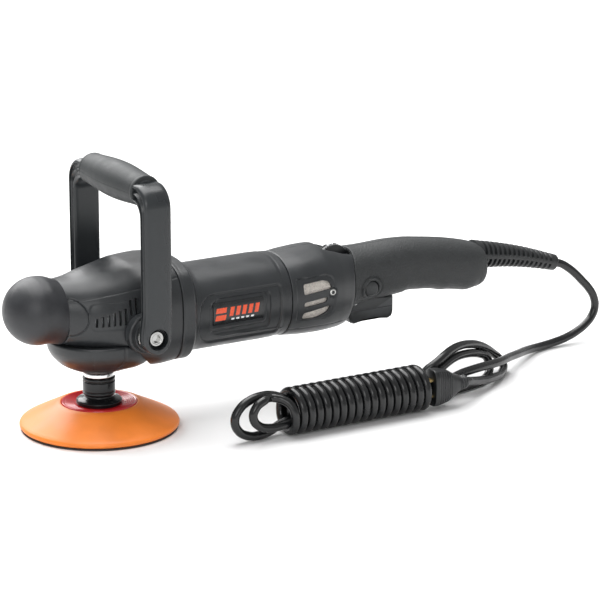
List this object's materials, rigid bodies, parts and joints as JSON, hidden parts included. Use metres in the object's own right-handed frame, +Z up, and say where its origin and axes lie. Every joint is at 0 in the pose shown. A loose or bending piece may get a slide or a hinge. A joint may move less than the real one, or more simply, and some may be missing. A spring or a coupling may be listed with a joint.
{
  "type": "rotary polisher",
  "caption": "Corded rotary polisher with a bevel-geared spindle, backing pad, soft nose, loop bail handle, trigger grip and wound mains cord with plug.",
  "frame": {"origin": "centre of the backing pad's hook face, on the spindle axis", "axes": "+Z up the spindle, +X back along the motor to the cord, -Y the operator's left"},
  "size_m": [0.5516, 0.1754, 0.2105],
  "materials": {
    "housing": "satin moulded",
    "soft_rubber": "matte",
    "grip_rubber": "pebbled matte",
    "casting": "as cast",
    "steel": "machined",
    "chrome": "polished",
    "black_steel": "glossy black",
    "laminations": "oiled",
    "copper": "enamelled copper wire",
    "carbon": "matte",
    "brass": "stamped",
    "nylon": "glass filled",
    "vent_mesh": "woven mesh",
    "red_plate": "glossy",
    "orange_pad": "satin urethane",
    "hook_fabric": "hook fabric",
    "board": "coated",
    "badge": "printed bars",
    "cord_vinyl": "glossy vinyl"
  },
  "bodies": {
    "housing": {"head_cover": "housing", "spindle_housing": "housing", "gearcase_flange": "housing", "motor_housing": "housing", "handle_shell_left": "housing", "handle_shell_right": "housing", "nose_bumper": "soft_rubber", "strain_relief": "soft_rubber", "grip_cover_left": "grip_rubber", "grip_cover_right": "grip_rubber", "gear_housing": "casting", "spindle_bearing": "steel", "spindle_needle_bearing": "steel", "motor_front_bearing": "steel", "motor_rear_bearing": "steel", "handle_screw_front": "steel", "handle_screw_lower": "steel", "handle_screw_middle": "steel", "handle_screw_rear": "steel", "trigger_pin": "steel", "bail_washer_left": "steel", "bail_washer_right": "steel", "bail_bolt_left": "chrome", "bail_bolt_right": "chrome", "field_core": "laminations", "field_coil_upper": "copper", "field_coil_lower": "copper", "carbon_brush_left": "carbon", "carbon_brush_right": "carbon", "trigger_switch": "carbon", "brush_holder_left": "brass", "brush_holder_right": "brass", "motor_end_frame": "nylon", "cord_clamp": "nylon", "vent_mesh_left": "vent_mesh", "vent_mesh_right": "vent_mesh", "speed_control_board": "board", "badge_plate": "badge", "cord_lead": "cord_vinyl", "cord_hank": "cord_vinyl", "plug_body": "cord_vinyl"},
    "spindle": {"pad_hook_face": "hook_fabric", "pad_cushion": "orange_pad", "pad_plate": "red_plate", "hub_collar": "black_steel", "spindle_shaft": "steel", "crown_gear": "steel"},
    "armature": {"bevel_pinion": "steel", "armature_shaft": "steel", "armature_core": "laminations", "commutator": "copper", "cooling_fan": "nylon"},
    "trigger": {"trigger": "housing", "trigger_spring": "steel"},
    "lock_on": {"lock_on_button": "housing"},
    "dial": {"speed_dial": "housing"},
    "bail": {"bail_frame": "housing", "bail_grip": "grip_rubber"},
    "spindle_lock": {"spindle_lock_button": "housing"}
  },
  "joints": [
    {"name": "spindle_spin", "type": "hinge", "parent": "housing", "child": "spindle", "pos_m": [0, 0, 0], "axis": [0, 0, 1], "continuous": true},
    {"name": "armature_spin", "type": "hinge", "parent": "housing", "child": "armature", "pos_m": [0.1, 0, 0.086], "axis": [1, 0, 0], "continuous": true},
    {"name": "trigger_press", "type": "hinge", "parent": "housing", "child": "trigger", "pos_m": [0.2265, 0, 0.0695], "axis": [0, -1, 0], "range_deg": [0, 7], "stiffness_Nm_per_rad": 2.5, "springref_deg": -6.88, "deforming": ["trigger_spring"]},
    {"name": "lock_on_press", "type": "slide", "parent": "housing", "child": "lock_on", "axis": [0, 1, 0], "range_m": [0, 0.003], "stiffness_N_per_m": 800, "springref_m": -0.002},
    {"name": "spindle_lock_press", "type": "slide", "parent": "housing", "child": "spindle_lock", "axis": [0, -1, 0], "range_m": [0, 0.004], "stiffness_N_per_m": 1000, "springref_m": -0.002},
    {"name": "speed_dial_turn", "type": "hinge", "parent": "housing", "child": "dial", "pos_m": [0.211, 0, 0.104], "axis": [0, 1, 0], "range_deg": [-48, 192]},
    {"name": "bail_tilt", "type": "hinge", "parent": "housing", "child": "bail", "pos_m": [0.0185, 0, 0.084], "axis": [0, 1, 0], "range_deg": [-35, 35]}
  ],
  "couplings": [
    {"joint": "armature_spin", "follows": "spindle_spin", "ratio": 4.875}
  ]
}
